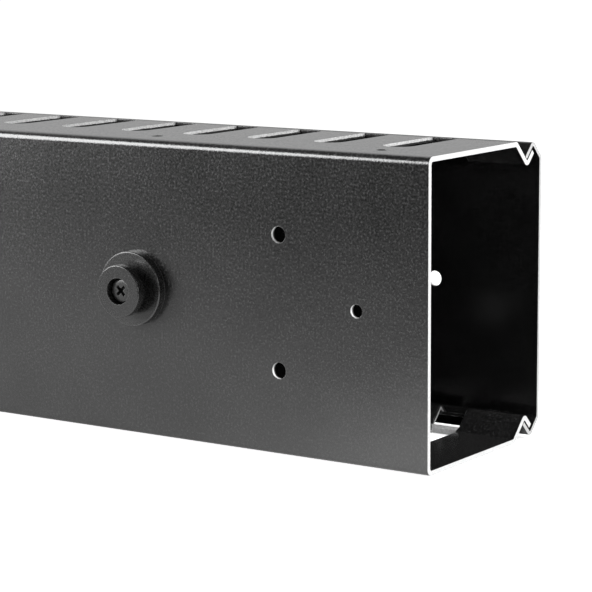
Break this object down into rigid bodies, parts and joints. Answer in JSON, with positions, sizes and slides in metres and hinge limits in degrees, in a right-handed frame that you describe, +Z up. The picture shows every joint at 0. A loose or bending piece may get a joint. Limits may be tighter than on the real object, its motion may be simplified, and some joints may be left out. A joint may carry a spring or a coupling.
{
  "type": "vertical cable manager",
  "caption": "Slotted sheet steel cable duct for a rack, with a full-length snap-fit cover, folded edge grooves and keyhole mounting buttons on its back.",
  "frame": {"origin": "centre of the bounding box at its lowest plane, where the duct lies on one slotted side wall", "axes": "+X along the duct, towards the end that the picture shows; +Y from the back panel with its buttons to the cover; +Z up, across the duct's width. In use the duct hangs on a rack post with X vertical."},
  "size_m": [0.534, 0.0822, 0.1005],
  "materials": {
    "channel_coat": "fine textured black powder coat",
    "cover_coat": "fine textured black powder coat",
    "spacer_coat": "satin black",
    "button_coat": "satin black",
    "screw_black": "black zinc",
    "washer_zinc": "bright zinc",
    "nut_zinc": "bright zinc"
  },
  "bodies": {
    "duct": {"slotted_channel": "channel_coat", "left_flange_spacer": "spacer_coat", "right_flange_spacer": "spacer_coat", "left_mounting_button": "button_coat", "right_mounting_button": "button_coat", "button_screws": "screw_black", "flat_washers": "washer_zinc", "lock_washers": "washer_zinc", "hex_nuts": "nut_zinc"},
    "cover": {"snap_cover": "cover_coat"}
  },
  "joints": [
    {"name": "cover_slide", "type": "slide", "parent": "duct", "child": "cover", "axis": [1, 0, 0], "range_m": [-0.534, 0.534]}
  ]
}
